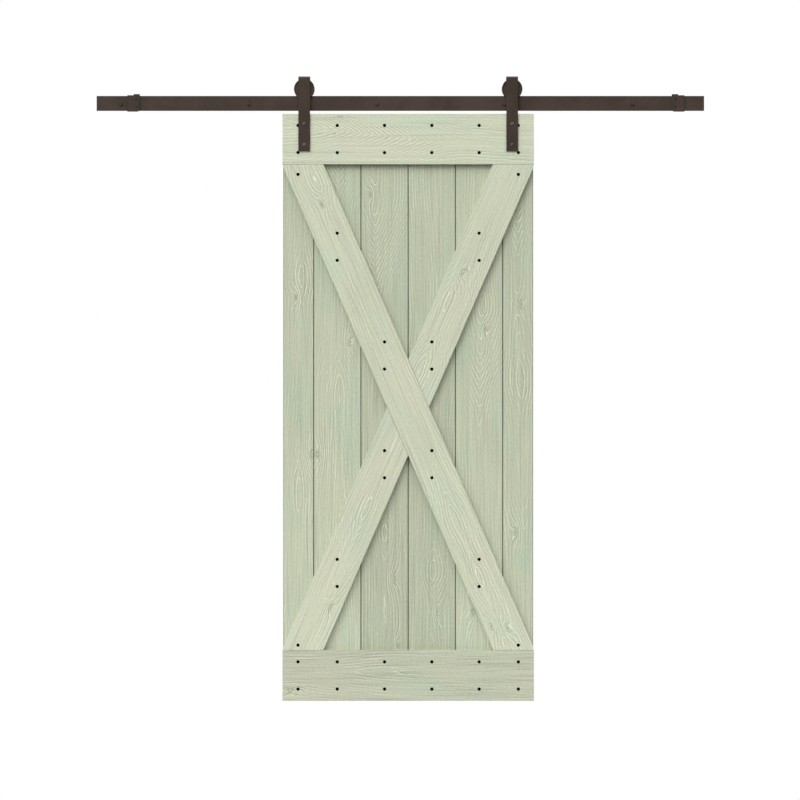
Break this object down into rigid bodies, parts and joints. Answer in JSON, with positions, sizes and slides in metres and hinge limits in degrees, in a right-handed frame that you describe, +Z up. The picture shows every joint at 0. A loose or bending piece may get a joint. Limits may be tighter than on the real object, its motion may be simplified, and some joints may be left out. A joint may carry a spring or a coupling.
{
  "type": "sliding barn door",
  "caption": "Sliding plank barn door with an X brace, hung by bent strap hangers and grooved wheels from a flat steel rail that stands off the wall on spacers, with end stops.",
  "frame": {"origin": "on the wall, behind the rail's middle bolt: the centre of the middle spacer's back face", "axes": "+X along the rail to the right seen from the room, +Y into the wall, +Z up"},
  "size_m": [2.21, 0.1142, 2.27],
  "materials": {
    "bronze_steel": "satin dark bronze powder coat",
    "planks": "brushed softwood under thin sage green paint",
    "front_boards": "brushed softwood under thin sage green paint, a little lighter",
    "black_screws": "black phosphate",
    "rubber": "matt",
    "bright_steel": "zinc plated and ground steel"
  },
  "bodies": {
    "track": {"rail": "bronze_steel", "rail_wall_bolts": "bronze_steel", "wall_spacer_1": "bronze_steel", "wall_spacer_2": "bronze_steel", "wall_spacer_3": "bronze_steel", "wall_spacer_4": "bronze_steel", "wall_spacer_5": "bronze_steel", "left_stop_body": "bronze_steel", "left_stop_bumper": "rubber", "left_stop_set_screws": "black_screws", "right_stop_body": "bronze_steel", "right_stop_bumper": "rubber", "right_stop_set_screws": "black_screws"},
    "door": {"plank_1": "planks", "plank_2": "planks", "plank_3": "planks", "plank_4": "planks", "plank_5": "planks", "plank_6": "planks", "top_rail_board": "front_boards", "bottom_rail_board": "front_boards", "long_brace": "front_boards", "upper_brace": "front_boards", "lower_brace": "front_boards", "top_rail_screws": "black_screws", "bottom_rail_screws": "black_screws", "long_brace_screws": "black_screws", "upper_brace_screws": "black_screws", "lower_brace_screws": "black_screws", "left_hanger_strap": "bronze_steel", "left_hanger_bolts": "bronze_steel", "left_back_washers": "bright_steel", "left_back_nuts": "bright_steel", "left_axle_bolt": "bronze_steel", "left_axle_nut": "bronze_steel", "left_axle_sleeves": "bright_steel", "left_inner_ring": "bright_steel", "right_hanger_strap": "bronze_steel", "right_hanger_bolts": "bronze_steel", "right_back_washers": "bright_steel", "right_back_nuts": "bright_steel", "right_axle_bolt": "bronze_steel", "right_axle_nut": "bronze_steel", "right_axle_sleeves": "bright_steel", "right_inner_ring": "bright_steel"},
    "wheel_left": {"left_wheel": "bronze_steel", "left_outer_ring": "bright_steel", "left_bearing_balls": "bright_steel", "left_bearing_seals": "rubber"},
    "wheel_right": {"right_wheel": "bronze_steel", "right_outer_ring": "bright_steel", "right_bearing_balls": "bright_steel", "right_bearing_seals": "rubber"}
  },
  "joints": [
    {"name": "door_slide", "type": "slide", "parent": "track", "child": "door", "axis": [1, 0, 0], "range_m": [-0.5655, 0.5485]},
    {"name": "left_wheel_spin", "type": "hinge", "parent": "door", "child": "wheel_left", "pos_m": [-0.2625, -0.035, 0.052], "axis": [0, 1, 0], "continuous": true},
    {"name": "right_wheel_spin", "type": "hinge", "parent": "door", "child": "wheel_right", "pos_m": [0.4935, -0.035, 0.052], "axis": [0, 1, 0], "continuous": true}
  ],
  "couplings": [
    {"joint": "left_wheel_spin", "follows": "door_slide", "rad_per_m": 40},
    {"joint": "right_wheel_spin", "follows": "door_slide", "rad_per_m": 40}
  ]
}
